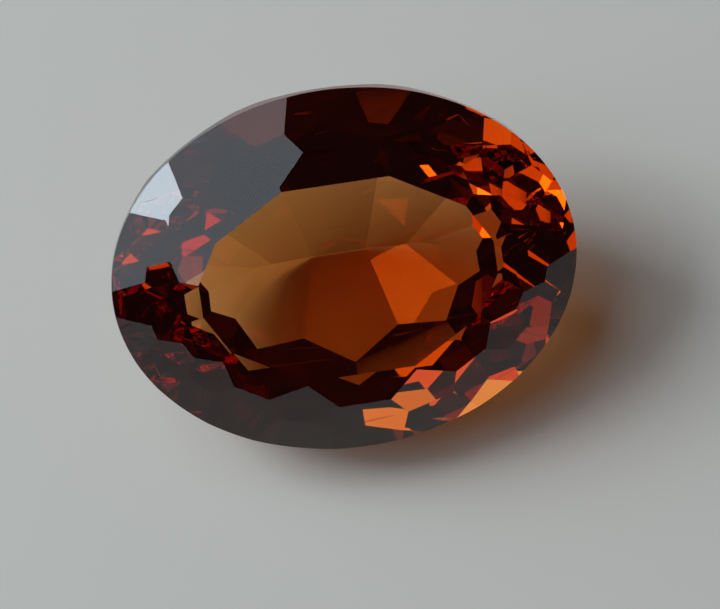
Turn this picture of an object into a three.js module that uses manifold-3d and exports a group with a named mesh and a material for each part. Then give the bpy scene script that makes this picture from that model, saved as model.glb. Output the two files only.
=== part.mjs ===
// An oval cut topaz: one convex crystal, ground to shape one flat facet at a time.
// It is modelled lying on a pavilion facet, as a loose stone comes to rest. Millimetres, +Z up.
import * as THREE from "three";
import { mergeVertices } from "three/addons/utils/BufferGeometryUtils.js";
import Module from "manifold-3d";

// Driving dimensions of the oval outline and of the flat on top.
const LENGTH = 18;
const WIDTH = 14.1;
const GIRDLE_THICKNESS = 0.45;
const CROWN_HEIGHT = 1.9;
const OUTLINE_STEPS = 120;

// Every tier has one facet at each of twelve equal azimuths, on the corners or half way between them.
const FOLD = 12;
const STEP = (2 * Math.PI) / FOLD;
const ON_CORNER = 0;
const BETWEEN = STEP / 2;

// A tier's angle is measured from the girdle plane. Its inset is where the facet, carried on, crosses the
// girdle's edge plane: inwards of the outline, so a negative inset starts higher up the stone.
const CROWN = [
  { angle: 36.5, inset: 0, turn: BETWEEN }, // break facets along the girdle
  { angle: 33.5, inset: -0.07, turn: ON_CORNER }, // mains
  { angle: 29, inset: -0.42, turn: BETWEEN }, // kites
  { angle: 21.5, inset: -1.5, turn: ON_CORNER }, // stars round the table
];
const PAVILION = [
  { angle: 58, inset: 0, turn: ON_CORNER }, // break facets along the girdle
  { angle: 46.5, inset: -0.36, turn: BETWEEN }, // middle tier
  { angle: 30, inset: -3.6, turn: ON_CORNER }, // mains that meet in the keel
];

// The main that the stone lies on, counted in steps from the long axis.
const REST_STEP = -3;

const BLANK_HEIGHT = 40;
const GRINDER = 60;

const wasm = await Module();
wasm.setup();

// The distance from the stone's axis to the outline's tangent that faces an azimuth.
function outlineReach(azimuth) {
  return Math.hypot((LENGTH / 2) * Math.cos(azimuth), (WIDTH / 2) * Math.sin(azimuth));
}

// A closed geometry as a solid that can be cut.
function solidOf(geometry) {
  const bare = geometry.clone();
  bare.deleteAttribute("normal");
  bare.deleteAttribute("uv");
  const merged = mergeVertices(bare, 1e-5);
  return new wasm.Manifold(
    new wasm.Mesh({
      numProp: 3,
      vertProperties: merged.attributes.position.array,
      triVerts: new Uint32Array(merged.index.array),
    }),
  );
}

// The rough: an oval column, upright along the stone's axis.
function blank() {
  const outline = new THREE.Shape();
  outline.absellipse(0, 0, LENGTH / 2, WIDTH / 2, 0, 2 * Math.PI, false, 0);
  const column = new THREE.ExtrudeGeometry(outline, {
    depth: BLANK_HEIGHT,
    bevelEnabled: false,
    curveSegments: OUTLINE_STEPS,
  });
  column.translate(0, 0, -BLANK_HEIGHT / 2);
  return solidOf(column);
}

// Grinds away all that lies past a plane, given by its outward normal and its distance from the centre.
function grind(stone, normal, distance) {
  const wheel = new THREE.BoxGeometry(GRINDER, GRINDER, GRINDER);
  wheel.translate(0, 0, distance + GRINDER / 2);
  const turn = new THREE.Quaternion().setFromUnitVectors(new THREE.Vector3(0, 0, 1), normal);
  wheel.applyQuaternion(turn);
  return stone.subtract(solidOf(wheel));
}

// The outward normal and the distance of one facet. Side is 1 on the crown and -1 on the pavilion.
function facetPlane(tier, azimuth, side) {
  const slope = THREE.MathUtils.degToRad(tier.angle);
  const normal = new THREE.Vector3(
    Math.sin(slope) * Math.cos(azimuth),
    Math.sin(slope) * Math.sin(azimuth),
    side * Math.cos(slope),
  );
  const reach = outlineReach(azimuth) - tier.inset;
  const distance = Math.sin(slope) * reach + Math.cos(slope) * (GIRDLE_THICKNESS / 2);
  return { normal, distance };
}

function grindTiers(stone, tiers, side) {
  let cut = stone;
  for (const tier of tiers) {
    for (let i = 0; i < FOLD; i++) {
      const { normal, distance } = facetPlane(tier, tier.turn + i * STEP, side);
      cut = grind(cut, normal, distance);
    }
  }
  return cut;
}

function cutStone() {
  const table = GIRDLE_THICKNESS / 2 + CROWN_HEIGHT;
  let stone = grind(blank(), new THREE.Vector3(0, 0, 1), table);
  stone = grindTiers(stone, CROWN, 1);
  return grindTiers(stone, PAVILION, -1);
}

function geometryOf(solid) {
  const mesh = solid.getMesh();
  const geometry = new THREE.BufferGeometry();
  geometry.setAttribute("position", new THREE.BufferAttribute(mesh.vertProperties, 3));
  geometry.setIndex(new THREE.BufferAttribute(mesh.triVerts, 1));
  return geometry;
}

// Turns the stone so that one main lies flat on the ground, and centres its box over the origin.
function layDown(geometry) {
  const mains = PAVILION[PAVILION.length - 1];
  const { normal } = facetPlane(mains, mains.turn + REST_STEP * STEP, -1);
  const down = new THREE.Vector3(0, 0, -1);
  geometry.applyQuaternion(new THREE.Quaternion().setFromUnitVectors(normal, down));
  geometry.computeBoundingBox();
  const { min, max } = geometry.boundingBox;
  geometry.translate(-(min.x + max.x) / 2, -(min.y + max.y) / 2, -min.z);
  return geometry;
}

const topaz = new THREE.MeshStandardMaterial({ color: 0x8a3f14, roughness: 0.03, metalness: 0 });
const stone = new THREE.Mesh(layDown(geometryOf(cutStone())), topaz);
stone.name = "topaz";

const gemstone = new THREE.Group();
gemstone.add(stone);

export default gemstone;
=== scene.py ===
import math

import bpy
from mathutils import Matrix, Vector

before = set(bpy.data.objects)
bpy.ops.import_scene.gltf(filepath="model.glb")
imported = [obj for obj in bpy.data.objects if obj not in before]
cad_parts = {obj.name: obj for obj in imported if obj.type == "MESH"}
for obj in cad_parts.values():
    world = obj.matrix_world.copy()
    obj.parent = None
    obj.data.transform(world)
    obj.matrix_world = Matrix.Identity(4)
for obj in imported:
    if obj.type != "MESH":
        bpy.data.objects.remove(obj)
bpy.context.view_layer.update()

STONE = "topaz"

# How far light bends in the stone, and the colour it keeps. A denser stone is darker and redder.
TOPAZ_IOR = 1.62
TOPAZ_TINT = (0.92, 0.59, 0.10)
TOPAZ_DENSITY = 400.0

# Scratches run one way, far longer than they are wide. Only the peaks of the grain show as scratches.
SCRATCH_TURN = (0.3, 0.2, math.radians(-12))
SCRATCH_SCALE = (250.0, 5200.0, 700.0)
SCRATCH_FROM = 0.70
SCRATCH_FULL = 0.76
SCRATCH_ROUGHNESS = 0.16
SCRATCH_BUMP = 0.05
SCRATCH_DEPTH = 0.000004

# The camera looks down at the stone from the front, with the oval's right end turned up a little.
VIEW_ELEVATION = math.radians(72.5)
VIEW_AZIMUTH = math.radians(-9)
VIEW_DISTANCE = 0.16
LENS_MM = 206.5
SENSOR_MM = 36
NEAREST = 0.001
AIM = Vector((0.00043, -0.00111, 0.00418))

# A bright window stands to the left and behind, in a wide patch of dimmer sky. The room is dark.
WINDOW_WAY = Vector((-0.72, 0.30, 0.64))
WINDOW_DISTANCE = 0.6
WINDOW_SIZE = (0.28, 0.26)
WINDOW_POWER = 2.2
SKY_WAY = Vector((-0.66, 0.25, 0.70))
SKY_DISTANCE = 0.7
SKY_SIZE = (0.85, 0.80)
SKY_POWER = 3.4
DAYLIGHT = (0.76, 0.90, 1.0)
ROOM_GREY = (0.012, 0.012, 0.013)

# Light crosses the stone many times before it leaves.
BOUNCES = 32

# A hair of air between the facet and the floor, so that light passes between them.
FLOOR_GAP = 0.00003
FLOOR_SIZE = 1.2
FLOOR_COLOUR = (0.76, 0.67, 0.59)
FLOOR_ROUGHNESS = 0.6


def value(node, **values):
    """Sets a node's inputs to plain values, with _ for the spaces in their names."""
    for name, setting in values.items():
        node.inputs[name.replace("_", " ")].default_value = setting


def aim(thing, way, distance):
    """Puts a light or the camera that far from the stone, looking back at it."""
    thing.location = AIM + way.normalized() * distance
    thing.rotation_euler = (-way).to_track_quat("-Z", "Y").to_euler()


def add_scratches(nodes, links, shader):
    """Sparse fine scratches: each is a little rough, and the polish between them is clean."""
    place = nodes.new("ShaderNodeTexCoord")
    stretch = nodes.new("ShaderNodeMapping")
    value(stretch, Rotation=SCRATCH_TURN, Scale=SCRATCH_SCALE)
    grain = nodes.new("ShaderNodeTexNoise")
    value(grain, Scale=1.0, Detail=1.0)
    pick = nodes.new("ShaderNodeMapRange")
    value(pick, From_Min=SCRATCH_FROM, From_Max=SCRATCH_FULL, To_Min=0.0, To_Max=SCRATCH_ROUGHNESS)
    bump = nodes.new("ShaderNodeBump")
    value(bump, Strength=SCRATCH_BUMP, Distance=SCRATCH_DEPTH)
    links.new(place.outputs["Object"], stretch.inputs["Vector"])
    links.new(stretch.outputs["Vector"], grain.inputs["Vector"])
    links.new(grain.outputs["Fac"], pick.inputs["Value"])
    links.new(pick.outputs["Result"], shader.inputs["Roughness"])
    links.new(pick.outputs["Result"], bump.inputs["Height"])
    links.new(bump.outputs["Normal"], shader.inputs["Normal"])


def make_topaz():
    material = bpy.data.materials.new("topaz")
    material.use_nodes = True
    nodes = material.node_tree.nodes
    links = material.node_tree.links
    shader = nodes["Principled BSDF"]
    value(shader, Base_Color=(1, 1, 1, 1), Roughness=0.0, IOR=TOPAZ_IOR, Transmission_Weight=1.0)
    absorb = nodes.new("ShaderNodeVolumeAbsorption")
    value(absorb, Color=(*TOPAZ_TINT, 1), Density=TOPAZ_DENSITY)
    links.new(absorb.outputs["Volume"], nodes["Material Output"].inputs["Volume"])
    add_scratches(nodes, links, shader)
    return material


def make_floor():
    bpy.ops.mesh.primitive_plane_add(size=FLOOR_SIZE, location=(0, 0, -FLOOR_GAP))
    floor = bpy.context.object
    floor.name = "floor"
    material = bpy.data.materials.new("floor")
    material.use_nodes = True
    shader = material.node_tree.nodes["Principled BSDF"]
    value(shader, Base_Color=(*FLOOR_COLOUR, 1), Roughness=FLOOR_ROUGHNESS)
    floor.data.materials.append(material)


def make_area(name, way, distance, size, power):
    data = bpy.data.lights.new(name, "AREA")
    data.shape = "RECTANGLE"
    data.size, data.size_y = size
    data.energy = power
    data.color = DAYLIGHT
    light = bpy.data.objects.new(name, data)
    bpy.context.scene.collection.objects.link(light)
    aim(light, way, distance)


def make_camera():
    data = bpy.data.cameras.new("camera")
    data.lens = LENS_MM
    data.sensor_width = SENSOR_MM
    data.clip_start = NEAREST
    camera = bpy.data.objects.new("camera", data)
    bpy.context.scene.collection.objects.link(camera)
    flat = math.cos(VIEW_ELEVATION)
    across = math.sin(VIEW_AZIMUTH) * flat
    along = -math.cos(VIEW_AZIMUTH) * flat
    aim(camera, Vector((across, along, math.sin(VIEW_ELEVATION))), VIEW_DISTANCE)
    bpy.context.scene.camera = camera


def make_room():
    scene = bpy.context.scene
    scene.world = bpy.data.worlds.new("room")
    scene.world.use_nodes = True
    value(scene.world.node_tree.nodes["Background"], Color=(*ROOM_GREY, 1), Strength=1.0)
    scene.cycles.max_bounces = BOUNCES
    scene.cycles.transmission_bounces = BOUNCES
    scene.cycles.glossy_bounces = BOUNCES
    scene.view_settings.view_transform = "Standard"


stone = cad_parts[STONE]
stone.data.materials.clear()
stone.data.materials.append(make_topaz())
for face in stone.data.polygons:
    face.use_smooth = False

make_floor()
make_area("window", WINDOW_WAY, WINDOW_DISTANCE, WINDOW_SIZE, WINDOW_POWER)
make_area("sky", SKY_WAY, SKY_DISTANCE, SKY_SIZE, SKY_POWER)
make_camera()
make_room()
